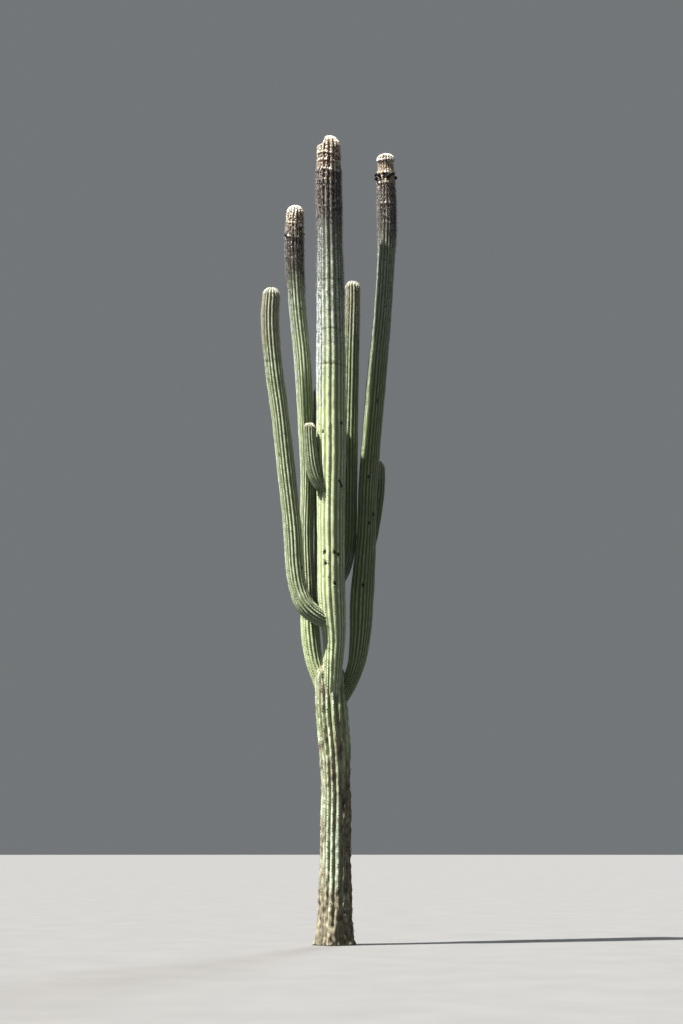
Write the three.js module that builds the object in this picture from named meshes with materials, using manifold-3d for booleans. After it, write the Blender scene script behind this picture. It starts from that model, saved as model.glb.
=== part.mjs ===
// A tall branched columnar cactus (Cephalocereus), rooted in level ground.
// One ribbed trunk forks low down into three upright stems. Four curved arms grow from the
// centre stem and one from the right stem. The three tallest stems end in a woolly brown head,
// where the flowers grew: a few dried ones still stand out of it.
// Millimetres, +Z up. The origin is the centre of the flat cut under the trunk. -Y is the front.
import * as THREE from "three";
import { mergeVertices } from "three/addons/utils/BufferGeometryUtils.js";
import Module from "manifold-3d";

const wasm = await Module();
wasm.setup();

// The gap between a limb's foot and its carrier, and between two lengths of one stem.
const SEAT_GAP = 0.3;

// Ribs: how many go round each limb, and the groove's depth as a share of the radius.
const TRUNK_RIBS = 16;
const STEM_RIBS = 18;
const ARM_RIBS = 16;
const SMALL_ARM_RIBS = 14;
const RIB_DEPTH = 0.15;
const CORKY_RIB_DEPTH = 0.05;
const CORK_TOP = 1500;

// Rings along a limb, for each stretch between two of its axis points.
const BEND_RINGS = 2;
const COLUMN_RINGS = 1;

// The rounded tip: the angles of its rings above the shoulder, and its height in radii.
const TIP_ANGLES = [0, 32, 58, 76].map(THREE.MathUtils.degToRad);
const ROUND_TIP = 0.95;
const FLAT_TIP = 0.6;

// How far the last ring of a column stays below its tip's shoulder.
const SHOULDER_MARGIN = 15;

// Steps in which a limb's axis is measured.
const ARC_STEPS = 600;

const finish = (color, roughness) =>
  new THREE.MeshStandardMaterial({ color, roughness, metalness: 0 });
const TRUNK_SKIN = finish(0x9aa07a, 0.85);
const STEM_SKIN = finish(0x84975f, 0.7);
const ARM_SKIN = finish(0x7c9058, 0.7);
const HEAD_WOOL = finish(0x6f5a48, 0.95);

// Each axis point is [x, y, z, radius over the rib crests]. The first one of a limb that has a
// carrier lies inside it. A piece runs up to the axis point that it names, or to the tip.
const TRUNK = {
  ribs: TRUNK_RIBS,
  tip: ROUND_TIP,
  axis: [
    [0, 0, 0, 238],
    [0, 0, 160, 208],
    [0, 0, 450, 186],
    [5, 0, 1000, 172],
    [10, 0, 1520, 168],
    [-5, 0, 2050, 175],
    [-40, 0, 2500, 181],
    [-52, 0, 2790, 170],
    [-55, 0, 2985, 158],
  ],
  pieces: [{ name: "trunk", skin: TRUNK_SKIN, rings: COLUMN_RINGS }],
};

const CENTRE = {
  ribs: STEM_RIBS,
  tip: ROUND_TIP,
  carrier: TRUNK,
  axis: [
    [-35, -40, 2560, 90],
    [-32, -95, 2760, 97],
    [-22, -118, 3000, 109],
    [-12, -122, 3230, 124],
    [-30, -120, 3500, 146],
    [-46, -120, 3750, 156],
    [-48, -120, 4380, 156],
    [-43, -120, 5280, 165],
    [-48, -118, 6030, 166],
    [-54, -112, 6920, 158],
    [-66, -102, 7860, 138],
    [-76, -95, 8500, 139],
    [-72, -92, 8970, 130],
  ],
  pieces: [
    { name: "centre_stem", upTo: 10, skin: STEM_SKIN, rings: COLUMN_RINGS },
    { name: "centre_head", skin: HEAD_WOOL, rings: COLUMN_RINGS, flowers: { z: 8690, count: 7 } },
  ],
};

const LEFT = {
  ribs: STEM_RIBS,
  tip: ROUND_TIP,
  carrier: TRUNK,
  axis: [
    [-60, 8, 2540, 64],
    [-134, 22, 2700, 76],
    [-180, 36, 2850, 85],
    [-229, 54, 3011, 94],
    [-264, 70, 3241, 105],
    [-285, 82, 3552, 97],
    [-300, 92, 3853, 84],
    [-319, 104, 4354, 77],
    [-307, 135, 5071, 82],
    [-332, 165, 5720, 90],
    [-375, 185, 6449, 96],
    [-428, 190, 6995, 97],
    [-458, 190, 7438, 97],
    [-471, 190, 7901, 100],
    [-455, 190, 8246, 96],
  ],
  pieces: [
    { name: "left_stem", upTo: 12, skin: STEM_SKIN, rings: COLUMN_RINGS },
    { name: "left_head", skin: HEAD_WOOL, rings: COLUMN_RINGS, flowers: { z: 7900, count: 6 } },
  ],
};

const RIGHT = {
  ribs: STEM_RIBS,
  tip: FLAT_TIP,
  carrier: TRUNK,
  axis: [
    [40, 0, 2540, 64],
    [125, 8, 2700, 78],
    [222, 36, 2951, 94],
    [268, 72, 3244, 112],
    [293, 125, 3711, 132],
    [320, 165, 4059, 122],
    [345, 205, 4428, 107],
    [363, 245, 4940, 107],
    [414, 280, 5635, 108],
    [473, 300, 6308, 110],
    [541, 300, 7027, 100],
    [592, 300, 7939, 101],
    [587, 300, 8496, 101],
    [583, 300, 8658, 102],
    [582, 300, 8749, 88],
    [580, 300, 8851, 99],
    [578, 300, 8907, 91],
  ],
  pieces: [
    { name: "right_stem", upTo: 11, skin: STEM_SKIN, rings: COLUMN_RINGS },
    { name: "right_head", skin: HEAD_WOOL, rings: COLUMN_RINGS, flowers: { z: 8643, count: 11 } },
  ],
};

const OUTER_LEFT_ARM = {
  ribs: STEM_RIBS,
  tip: ROUND_TIP,
  carrier: CENTRE,
  axis: [
    [-25, -124, 3400, 76],
    [-200, -172, 3480, 97],
    [-318, -182, 3580, 104],
    [-396, -175, 3760, 101],
    [-436, -165, 3990, 101],
    [-462, -158, 4380, 101],
    [-530, -155, 5020, 100],
    [-603, -152, 5670, 100],
    [-682, -150, 6250, 100],
    [-727, -150, 6800, 99],
    [-710, -150, 7167, 94],
  ],
  pieces: [
    { name: "outer_left_elbow", upTo: 4, skin: ARM_SKIN, rings: BEND_RINGS },
    { name: "outer_left_arm", skin: ARM_SKIN, rings: COLUMN_RINGS },
  ],
};

const SHORT_ARM = {
  ribs: ARM_RIBS,
  tip: ROUND_TIP,
  carrier: CENTRE,
  axis: [
    [-62, -150, 4793, 44],
    [-131, -212, 4845, 52],
    [-196, -225, 4949, 68],
    [-245, -222, 5106, 78],
    [-270, -216, 5309, 72],
    [-282, -212, 5491, 65],
    [-282, -210, 5605, 58],
  ],
  pieces: [
    { name: "short_elbow", upTo: 4, skin: ARM_SKIN, rings: BEND_RINGS },
    { name: "short_arm", skin: ARM_SKIN, rings: COLUMN_RINGS },
  ],
};

const REAR_RIGHT_ARM = {
  ribs: ARM_RIBS,
  tip: ROUND_TIP,
  carrier: CENTRE,
  axis: [
    [-22, -72, 3825, 56],
    [40, 70, 3901, 64],
    [100, 182, 4054, 76],
    [143, 257, 4330, 86],
    [158, 285, 4916, 87],
    [166, 287, 5619, 88],
    [178, 287, 6323, 88],
    [196, 287, 7076, 84],
    [198, 287, 7379, 78],
  ],
  pieces: [
    { name: "rear_right_elbow", upTo: 3, skin: ARM_SKIN, rings: BEND_RINGS },
    { name: "rear_right_arm", skin: ARM_SKIN, rings: COLUMN_RINGS },
  ],
};

const REAR_LEFT_ARM = {
  ribs: ARM_RIBS,
  tip: ROUND_TIP,
  carrier: CENTRE,
  axis: [
    [-45, -80, 3490, 60],
    [-85, 70, 3560, 70],
    [-122, 165, 3760, 80],
    [-147, 215, 4080, 88],
    [-150, 238, 4600, 90],
    [-150, 240, 5400, 90],
    [-160, 240, 5850, 88],
    [-163, 240, 6138, 80],
  ],
  pieces: [
    { name: "rear_left_elbow", upTo: 3, skin: ARM_SKIN, rings: BEND_RINGS },
    { name: "rear_left_arm", skin: ARM_SKIN, rings: COLUMN_RINGS },
  ],
};

const REAR_OUTER_ARM = {
  ribs: SMALL_ARM_RIBS,
  tip: ROUND_TIP,
  carrier: RIGHT,
  axis: [
    [323, 190, 4069, 54],
    [337, 310, 4132, 62],
    [364, 405, 4287, 74],
    [403, 452, 4512, 84],
    [452, 460, 4815, 85],
    [476, 460, 5068, 83],
    [478, 460, 5320, 76],
  ],
  pieces: [
    { name: "rear_outer_elbow", upTo: 3, skin: ARM_SKIN, rings: BEND_RINGS },
    { name: "rear_outer_arm", skin: ARM_SKIN, rings: COLUMN_RINGS },
  ],
};

const LIMBS = [
  TRUNK,
  CENTRE,
  LEFT,
  RIGHT,
  OUTER_LEFT_ARM,
  SHORT_ARM,
  REAR_RIGHT_ARM,
  REAR_LEFT_ARM,
  REAR_OUTER_ARM,
];

// A dried flower: a rough six-cornered knob, longer than it is wide, sunk into the head.
const FLOWER = { radius: 17, stretch: 1.5, sunk: 5, stagger: 26 };

// The groove's depth: shallow in the corky foot of the trunk, full above it.
function ribDepthAt(z) {
  const grown = THREE.MathUtils.smoothstep(z, 0, CORK_TOP);
  return THREE.MathUtils.lerp(CORKY_RIB_DEPTH, RIB_DEPTH, grown);
}

// The limb's axis as a smooth curve, with its radius and its length so far at any point.
function measuredAxis(limb) {
  const curve = new THREE.CatmullRomCurve3(limb.axis.map(([x, y, z]) => new THREE.Vector3(x, y, z)));
  const girth = new THREE.SplineCurve(limb.axis.map((point, i) => new THREE.Vector2(i, point[3])));
  curve.arcLengthDivisions = ARC_STEPS;
  const arc = curve.getLengths(ARC_STEPS);
  return {
    point: (t) => curve.getPoint(t),
    tangent: (t) => curve.getTangent(t),
    radius: (t) => girth.getPoint(t).y,
    lengthAt: (t) => arc[Math.round(t * ARC_STEPS)],
    whereLengthIs: (s) => curve.getUtoTmapping(0, s),
    length: arc[ARC_STEPS],
  };
}

// One ring of the limb: its centre, its direction and its radius.
function ringAt(axis, t) {
  const point = axis.point(t);
  return {
    point,
    tangent: axis.tangent(t),
    radius: axis.radius(t),
    ribDepth: ribDepthAt(point.z),
    rise: 0,
  };
}

// The rings of the rounded tip, drawn in towards the axis as a quarter of an ellipse.
function tipRings(limb, axis) {
  const height = limb.tip * axis.radius(1);
  return TIP_ANGLES.map((angle) => {
    const ring = ringAt(axis, axis.whereLengthIs(axis.length - height * (1 - Math.sin(angle))));
    ring.radius = axis.radius(1) * Math.cos(angle);
    ring.rise = Math.sin(angle);
    return ring;
  });
}

// Carries one sideways direction along the rings, so that the ribs never twist.
function orient(rings) {
  const side = new THREE.Vector3(0, -1, 0);
  for (const ring of rings) {
    side.addScaledVector(ring.tangent, -side.dot(ring.tangent)).normalize();
    ring.normal = side.clone();
    ring.binormal = new THREE.Vector3().crossVectors(ring.tangent, side);
  }
}

// All rings of a limb, in one list for each of its pieces. A cut between two pieces is a pair of
// rings that stand the seat gap apart.
function ringsOfPieces(limb) {
  const axis = measuredAxis(limb);
  const spans = limb.axis.length - 1;
  const columnEnd = axis.length - limb.tip * axis.radius(1) - SHOULDER_MARGIN;
  const lists = [];
  let from = 0;
  for (const piece of limb.pieces) {
    const isLast = piece.upTo === undefined;
    const to = isLast ? spans : piece.upTo;
    const rings = [];
    for (let i = 0; i <= (to - from) * piece.rings; i++) {
      const t = (from + i / piece.rings) / spans;
      if (!isLast || axis.lengthAt(t) < columnEnd) rings.push(ringAt(axis, t));
    }
    if (from > 0) rings[0].point.addScaledVector(rings[0].tangent, SEAT_GAP);
    if (isLast) rings.push(...tipRings(limb, axis));
    lists.push(rings);
    from = to;
  }
  orient(lists.flat());
  return lists;
}

// A closed cylinder whose rows are moved onto the rings. Every second corner is a rib's crest.
function ribbedGeometry(rings, ribs, swell = 0) {
  const corners = ribs * 2;
  const rows = rings.length - 1;
  const geometry = new THREE.CylinderGeometry(1, 1, 1, corners, rows);
  const place = geometry.getAttribute("position");
  for (let i = 0; i < place.count; i++) {
    const across = new THREE.Vector2(place.getX(i), place.getZ(i));
    const ring = rings[Math.round((place.getY(i) + 0.5) * rows)];
    const corner = Math.round((Math.atan2(across.x, across.y) / (2 * Math.PI)) * corners);
    const isCrest = Math.abs(corner) % 2 === 1;
    const reach = ring.radius * (isCrest ? 1 : 1 - ring.ribDepth) + swell;
    const moved = ring.point
      .clone()
      .addScaledVector(ring.tangent, swell * ring.rise)
      .addScaledVector(ring.binormal, across.x * reach)
      .addScaledVector(ring.normal, across.y * reach);
    place.setXYZ(i, moved.x, moved.y, moved.z);
  }
  return geometry;
}

// A closed geometry as a solid that can be cut and joined.
function solidOf(geometry) {
  const bare = geometry.clone();
  bare.deleteAttribute("normal");
  bare.deleteAttribute("uv");
  const merged = mergeVertices(bare, 1e-3);
  return new wasm.Manifold(
    new wasm.Mesh({
      numProp: 3,
      vertProperties: merged.getAttribute("position").array,
      triVerts: new Uint32Array(merged.index.array),
    }),
  );
}

function geometryOf(solid) {
  const mesh = solid.getMesh();
  return new THREE.BufferGeometry()
    .setAttribute("position", new THREE.BufferAttribute(mesh.vertProperties, 3))
    .setIndex(new THREE.BufferAttribute(mesh.triVerts, 1))
    .toNonIndexed();
}

// The whole carrier, grown by the seat gap: what a limb's foot is cut by.
function seatCutter(carrier) {
  return solidOf(ribbedGeometry(ringsOfPieces(carrier).flat(), carrier.ribs, SEAT_GAP));
}

// The ring of dried flowers round a head, each on a rib's crest and leaning outwards.
function withFlowers(solid, rings, { z, count }) {
  const ring = rings.reduce((a, b) => (Math.abs(b.point.z - z) < Math.abs(a.point.z - z) ? b : a));
  let grown = solid;
  for (let i = 0; i < count; i++) {
    const turn = (2 * Math.PI * i) / count;
    const out = new THREE.Vector3(Math.sin(turn), -Math.cos(turn), 0);
    const knob = new THREE.OctahedronGeometry(FLOWER.radius);
    knob.scale(1, 1, FLOWER.stretch);
    knob.lookAt(new THREE.Vector3(out.x, out.y, 0.6));
    const height = z + FLOWER.stagger * ((i % 3) - 1);
    const base = new THREE.Vector3(ring.point.x, ring.point.y, height);
    base.addScaledVector(out, ring.radius - FLOWER.sunk);
    knob.translate(base.x, base.y, base.z);
    grown = grown.add(solidOf(knob));
  }
  return grown;
}

function meshOf(name, solid, skin) {
  const geometry = geometryOf(solid);
  geometry.computeVertexNormals();
  const mesh = new THREE.Mesh(geometry, skin);
  mesh.name = name;
  return mesh;
}

function growLimb(limb) {
  const group = new THREE.Group();
  const lists = ringsOfPieces(limb);
  limb.pieces.forEach((piece, i) => {
    let solid = solidOf(ribbedGeometry(lists[i], limb.ribs));
    if (limb.carrier && i === 0) solid = solid.subtract(seatCutter(limb.carrier));
    if (piece.flowers) solid = withFlowers(solid, lists[i], piece.flowers);
    group.add(meshOf(piece.name, solid, piece.skin));
  });
  return group;
}

const cactus = new THREE.Group();
cactus.name = "columnar_cactus";
LIMBS.forEach((limb) => cactus.add(growLimb(limb)));

export default cactus;
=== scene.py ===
# %% [markdown]
# # A tall columnar cactus
#
# This lesson dresses the solids of one branched columnar cactus, nine metres tall and rooted in
# level ground. A ribbed trunk forks into three upright stems that end in woolly brown heads, and
# five curved arms grow from their sides. The solids give each limb's place, girth and ribs. Here
# each limb gets a fine ribbed skin, and then what grows on it: felted areoles, spines, wool,
# bristles and a few dried flowers. Everything is in metres, with +Z up and -Y towards the viewer.

# %% Load the solids
import math

import bmesh
import bpy
import numpy as np
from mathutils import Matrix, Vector


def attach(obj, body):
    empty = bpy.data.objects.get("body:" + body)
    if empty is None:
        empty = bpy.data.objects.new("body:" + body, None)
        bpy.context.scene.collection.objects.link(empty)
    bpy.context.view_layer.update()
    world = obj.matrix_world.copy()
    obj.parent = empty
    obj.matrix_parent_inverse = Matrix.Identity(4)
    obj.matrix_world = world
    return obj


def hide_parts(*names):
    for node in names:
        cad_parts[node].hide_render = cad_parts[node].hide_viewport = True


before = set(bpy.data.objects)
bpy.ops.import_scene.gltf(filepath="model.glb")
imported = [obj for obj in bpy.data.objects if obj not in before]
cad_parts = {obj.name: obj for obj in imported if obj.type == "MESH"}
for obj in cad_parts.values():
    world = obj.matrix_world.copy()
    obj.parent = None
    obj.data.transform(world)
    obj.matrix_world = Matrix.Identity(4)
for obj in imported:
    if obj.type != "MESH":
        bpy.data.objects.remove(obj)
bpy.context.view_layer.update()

# %% [markdown]
# ## The camera
#
# The plant was seen from the ground, about twenty metres away, with the camera tipped up a little.
# A long lens keeps the stems nearly parallel. The focal length was worked out in pixels of the
# picture, so it is turned into millimetres on Blender's 36 mm sensor, whose width Blender lays
# along the longer side of the picture: here the height.

# %% Camera
PICTURE_HEIGHT = 1024
SENSOR = 36.0
FOCAL_PIXELS = 1846
CAMERA_PLACE = (0.0686, -20.0, 1.0)
CAMERA_TIPPED_UP = math.radians(10.34)

camera_data = bpy.data.cameras.new("camera")
camera_data.sensor_width = SENSOR
camera_data.lens = SENSOR * FOCAL_PIXELS / PICTURE_HEIGHT
camera_data.clip_end = 1000
camera = bpy.data.objects.new("camera", camera_data)
camera.location = CAMERA_PLACE
camera.rotation_euler = (math.radians(90) + CAMERA_TIPPED_UP, 0, 0)
bpy.context.scene.collection.objects.link(camera)
bpy.context.scene.camera = camera
print("lens:", round(camera_data.lens, 1), "mm")

# %% [markdown]
# ## Colours
#
# People name a colour by the numbers that a screen shows, but a shader wants the amount of light.
# One small function turns the first into the second, so that every colour below can be written
# as the eye would pick it.


# %% Colour helper
def tone(red, green, blue):
    """A screen colour, each part from 0 to 255, as the light values that Blender mixes."""
    parts = [part / 255 for part in (red, green, blue)]
    return tuple(p / 12.92 if p <= 0.04045 else ((p + 0.055) / 1.055) ** 2.4 for p in parts) + (1.0,)


print("middle grey:", [round(part, 3) for part in tone(128, 128, 128)])

# %% [markdown]
# ## Floor and light
#
# A pale floor disc and an even surround stand in for a studio. The key light is high and to the
# left, because that side of every rib is bright and each groove holds a shadow. It is a sun lamp,
# whose rays are parallel, so a nine metre plant is lit alike from foot to top. A weak second lamp
# behind lights the far side and gives the woolly crowns their bright rims. The floor would throw a
# lot of light back up into the grooves, so it is hidden from diffuse rays.

# %% Floor and light
FLOOR_RADIUS = 300
SURROUND_STRENGTH = 0.28


def sun_lamp(name, rays, strength, disc_degrees, colour):
    """A lamp with parallel rays that run along the given direction."""
    data = bpy.data.lights.new(name, "SUN")
    data.energy = strength
    data.angle = math.radians(disc_degrees)
    data.color = colour
    lamp = bpy.data.objects.new(name, data)
    lamp.rotation_euler = Vector(rays).to_track_quat("-Z", "Y").to_euler()
    bpy.context.scene.collection.objects.link(lamp)


floor_mesh = bpy.data.meshes.new("floor")
floor_bm = bmesh.new()
bmesh.ops.create_circle(floor_bm, cap_ends=True, segments=96, radius=FLOOR_RADIUS)
floor_bm.to_mesh(floor_mesh)
floor_bm.free()
floor = bpy.data.objects.new("floor", floor_mesh)
floor.visible_diffuse = False
bpy.context.scene.collection.objects.link(floor)

sun_lamp("key", rays=(0.94, 0.34, -1.80), strength=14.5, disc_degrees=1.0, colour=(1.0, 0.98, 0.94))
sun_lamp("back", rays=(-0.25, -0.8, -0.75), strength=1.6, disc_degrees=12.0, colour=(0.9, 0.95, 1.0))

world = bpy.data.worlds.new("surround")
world.use_nodes = True
surround = world.node_tree.nodes["Background"]
surround.inputs["Color"].default_value = tone(204, 211, 214)
surround.inputs["Strength"].default_value = SURROUND_STRENGTH
bpy.context.scene.world = world
bpy.context.scene.view_settings.view_transform = "Standard"
print("lamps:", [thing.name for thing in bpy.data.lights])

# %% [markdown]
# ## The limbs
#
# Every limb of the cactus is a column round a gently bent axis: one trunk, three stems and five
# arms. The points below are the axes that the solids follow: x, y, z and the radius over the rib
# crests.

# %% Axes of the limbs
TRUNK_AXIS = [
    (0, 0, 0, 0.238), (0, 0, 0.16, 0.208), (0, 0, 0.45, 0.186),
    (0.005, 0, 1.0, 0.172), (0.01, 0, 1.52, 0.168), (-0.005, 0, 2.05, 0.175),
    (-0.04, 0, 2.5, 0.181), (-0.052, 0, 2.79, 0.170), (-0.055, 0, 2.985, 0.158),
]
CENTRE_AXIS = [
    (-0.035, -0.04, 2.56, 0.090), (-0.032, -0.095, 2.76, 0.097), (-0.022, -0.118, 3.0, 0.109),
    (-0.012, -0.122, 3.23, 0.124), (-0.03, -0.12, 3.5, 0.146), (-0.046, -0.12, 3.75, 0.156),
    (-0.048, -0.12, 4.38, 0.156), (-0.043, -0.12, 5.28, 0.165), (-0.048, -0.118, 6.03, 0.166),
    (-0.054, -0.112, 6.92, 0.158), (-0.066, -0.102, 7.86, 0.138), (-0.076, -0.095, 8.5, 0.139),
    (-0.072, -0.092, 8.97, 0.130),
]
LEFT_AXIS = [
    (-0.06, 0.008, 2.54, 0.064), (-0.134, 0.022, 2.70, 0.076), (-0.18, 0.036, 2.85, 0.085),
    (-0.229, 0.054, 3.011, 0.094), (-0.264, 0.07, 3.241, 0.105), (-0.285, 0.082, 3.552, 0.097),
    (-0.3, 0.092, 3.853, 0.084), (-0.319, 0.104, 4.354, 0.077), (-0.307, 0.135, 5.071, 0.082),
    (-0.332, 0.165, 5.72, 0.090), (-0.375, 0.185, 6.449, 0.096), (-0.428, 0.19, 6.995, 0.097),
    (-0.458, 0.19, 7.438, 0.097), (-0.471, 0.19, 7.901, 0.100), (-0.455, 0.19, 8.246, 0.096),
]
RIGHT_AXIS = [
    (0.04, 0, 2.54, 0.064), (0.125, 0.008, 2.7, 0.078), (0.222, 0.036, 2.951, 0.094),
    (0.268, 0.072, 3.244, 0.112), (0.293, 0.125, 3.711, 0.132), (0.32, 0.165, 4.059, 0.122),
    (0.345, 0.205, 4.428, 0.107), (0.363, 0.245, 4.94, 0.107), (0.414, 0.28, 5.635, 0.108),
    (0.473, 0.3, 6.308, 0.110), (0.541, 0.3, 7.027, 0.100), (0.592, 0.3, 7.939, 0.101),
    (0.587, 0.3, 8.496, 0.101), (0.583, 0.3, 8.658, 0.102), (0.582, 0.3, 8.749, 0.088),
    (0.58, 0.3, 8.851, 0.099), (0.578, 0.3, 8.907, 0.091),
]
OUTER_LEFT_AXIS = [
    (-0.025, -0.124, 3.4, 0.076), (-0.2, -0.172, 3.48, 0.097), (-0.318, -0.182, 3.58, 0.104),
    (-0.396, -0.175, 3.76, 0.101), (-0.436, -0.165, 3.99, 0.101), (-0.462, -0.158, 4.38, 0.101),
    (-0.53, -0.155, 5.02, 0.100), (-0.603, -0.152, 5.67, 0.100), (-0.682, -0.15, 6.25, 0.100),
    (-0.727, -0.15, 6.8, 0.099), (-0.71, -0.15, 7.167, 0.094),
]
SHORT_AXIS = [
    (-0.062, -0.15, 4.793, 0.044), (-0.131, -0.212, 4.845, 0.052), (-0.196, -0.225, 4.949, 0.068),
    (-0.245, -0.222, 5.106, 0.078), (-0.27, -0.216, 5.309, 0.072), (-0.282, -0.212, 5.491, 0.065),
    (-0.282, -0.21, 5.605, 0.058),
]
REAR_RIGHT_AXIS = [
    (-0.022, -0.072, 3.825, 0.056), (0.04, 0.07, 3.901, 0.064), (0.1, 0.182, 4.054, 0.076),
    (0.143, 0.257, 4.33, 0.086), (0.158, 0.285, 4.916, 0.087), (0.166, 0.287, 5.619, 0.088),
    (0.178, 0.287, 6.323, 0.088), (0.196, 0.287, 7.076, 0.084), (0.198, 0.287, 7.379, 0.078),
]
REAR_LEFT_AXIS = [
    (-0.045, -0.08, 3.49, 0.060), (-0.085, 0.07, 3.56, 0.070), (-0.122, 0.165, 3.76, 0.080),
    (-0.147, 0.215, 4.08, 0.088), (-0.15, 0.238, 4.6, 0.090), (-0.15, 0.24, 5.4, 0.090),
    (-0.16, 0.24, 5.85, 0.088), (-0.163, 0.24, 6.138, 0.080),
]
REAR_OUTER_AXIS = [
    (0.323, 0.19, 4.069, 0.054), (0.337, 0.31, 4.132, 0.062), (0.364, 0.405, 4.287, 0.074),
    (0.403, 0.452, 4.512, 0.084), (0.452, 0.46, 4.815, 0.085), (0.476, 0.46, 5.068, 0.083),
    (0.478, 0.46, 5.32, 0.076),
]
MAIN_AXES = (TRUNK_AXIS, CENTRE_AXIS, LEFT_AXIS, RIGHT_AXIS)
print("axis points:", sum(map(len, MAIN_AXES)), "on the trunk and the stems")

# %% [markdown]
# ## From a few points to a smooth axis
#
# A real stem has no corners, so a curve is drawn through the points. A centripetal Catmull-Rom
# curve passes through each one and never loops between them. It is sampled finely, and each sample
# keeps its distance along the stem, its place, the way the stem heads, and one sideways direction
# that is carried along without twisting. The ribs are later counted round from that direction.

# %% Smooth axis
SAMPLES_PER_SPAN = 48


def curve_through(points):
    """Samples of a centripetal Catmull-Rom curve through rows of numbers (x, y, z, radius)."""
    rows = np.array(points, float)
    chain = np.vstack([2 * rows[0] - rows[1], rows, 2 * rows[-1] - rows[-2]])
    share = np.linspace(0, 1, SAMPLES_PER_SPAN, endpoint=False)[:, None]
    samples = []
    for p0, p1, p2, p3 in zip(chain, chain[1:], chain[2:], chain[3:]):
        d0, d1, d2 = (np.linalg.norm((b - a)[:3]) ** 0.5 for a, b in ((p0, p1), (p1, p2), (p2, p3)))
        start = ((p1 - p0) / d0 - (p2 - p0) / (d0 + d1) + (p2 - p1) / d1) * d1
        end = ((p2 - p1) / d1 - (p3 - p1) / (d1 + d2) + (p3 - p2) / d2) * d1
        bend = (2 * p1 - 2 * p2 + start + end) * share**3
        samples.append(bend + (3 * p2 - 3 * p1 - 2 * start - end) * share**2 + start * share + p1)
    return np.vstack(samples + [rows[-1:]])


class Axis:
    """A limb's measured axis: everything about it can be read at any distance along it."""

    def __init__(self, points):
        samples = curve_through(points)
        self.place = samples[:, :3]
        self.radius = samples[:, 3]
        steps = np.linalg.norm(np.diff(self.place, axis=0), axis=1)
        self.distance = np.concatenate([[0], np.cumsum(steps)])
        self.length = self.distance[-1]
        ahead = np.gradient(self.place, self.distance, axis=0)
        self.ahead = ahead / np.linalg.norm(ahead, axis=1)[:, None]
        self.front = np.empty_like(self.place)
        front = np.array([0.0, -1.0, 0.0])
        for i, heading in enumerate(self.ahead):
            front = front - heading * (front @ heading)
            front /= np.linalg.norm(front)
            self.front[i] = front

    def read(self, values, distance):
        """The values at these distances along the axis, for a column or for rows of three."""
        if values.ndim == 1:
            return np.interp(distance, self.distance, values)
        return np.stack([np.interp(distance, self.distance, column) for column in values.T], -1)

    def distance_at_height(self, height):
        return np.interp(height, self.place[:, 2], self.distance)


print("centre stem:", round(Axis(CENTRE_AXIS).length, 2), "m long")

# %% [markdown]
# ## What is known of a limb
#
# A limb knows its axis, how many ribs go round it and how deep they are, how tall its rounded tip is
# in radii, and which solids it stands for. The right stem's tip is flatter than the rest. The three
# stems also have old heads, with the heights at which things change, and some limbs have waists at
# heights that show on the real plant. A seed from the limb's name varies everything else.

# %% Limb
STEM_RIBS = 18
TRUNK_RIBS = 16
ARM_RIBS = 16
SMALL_ARM_RIBS = 14
ROUND_TIP = 0.95
FLAT_TIP = 0.5
RIB_DEPTH = 0.15
LOW_RIB_DEPTHS = {"centre": 0.08, "right": 0.11, "left": 0.13, "short": 0.18}
YOUNG_SHARE = 0.22
SEASON_GROWTH = 1.6
SEASON_SPREAD = 0.4
LAST_WAIST = 0.3
WAISTS_APART = 0.5
FAINT_WAIST = 0.4
CROWN_TIER = (9.0, 0, 0.3)


class Limb:
    """All that is known of one ribbed limb."""

    def __init__(self, name, points, ribs, nodes, slot, tip=ROUND_TIP):
        self.name = name
        self.axis = Axis(points)
        self.ribs = ribs
        self.nodes = nodes
        self.slot = slot
        self.seed = sum(map(ord, name))
        self.top = self.axis.place[-1, 2]
        self.tip_height = tip * self.axis.radius[-1]
        self.shoulder = self.axis.length - self.tip_height
        self.depth = LOW_RIB_DEPTHS.get(name, RIB_DEPTH)
        self.young_share = YOUNG_SHARE
        self.head_from = None
        self.dull_from = None
        self.tiers = []
        self.dent = None
        self.rim_cuts = 0
        self.mark_seasons(())

    def mark_seasons(self, heights):
        """Waists: those that show at known heights, and seeded ones between them."""
        picked = np.random.default_rng(self.seed)
        named = [self.axis.distance_at_height(height) for height in heights]
        seasons = np.arange(SEASON_GROWTH, self.shoulder - LAST_WAIST, SEASON_GROWTH)
        seeded = seasons + picked.uniform(-SEASON_SPREAD, SEASON_SPREAD, len(seasons))
        spaced = [mark for mark in seeded if all(abs(mark - other) > WAISTS_APART for other in named)]
        self.waists = named + spaced
        self.waist_shares = [1] * len(named) + [FAINT_WAIST] * len(spaced)

    def grow_head(self, head_from, dull_from, tiers):
        """The old woolly top: where it starts, where the dull skin under it starts, and its tiers,
        each with its height, the side in degrees on which it stands out most, and by how much. The
        crown above the last tier counts as one more."""
        heights, self.tier_sides, self.tier_shares = np.array(tiers + [CROWN_TIER]).T
        self.head_from = head_from
        self.dull_from = dull_from
        self.tiers = [self.axis.distance_at_height(height) for height in heights[:-1]]


def stem(name, points, tip=ROUND_TIP):
    return Limb(name, points, STEM_RIBS, [name + "_stem", name + "_head"], "stem_skin", tip)


def arm(name, points, ribs=ARM_RIBS):
    return Limb(name, points, ribs, [name + "_elbow", name + "_arm"], "arm_skin")


print("an arm's solids:", arm("short", SHORT_AXIS).nodes)

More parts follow.
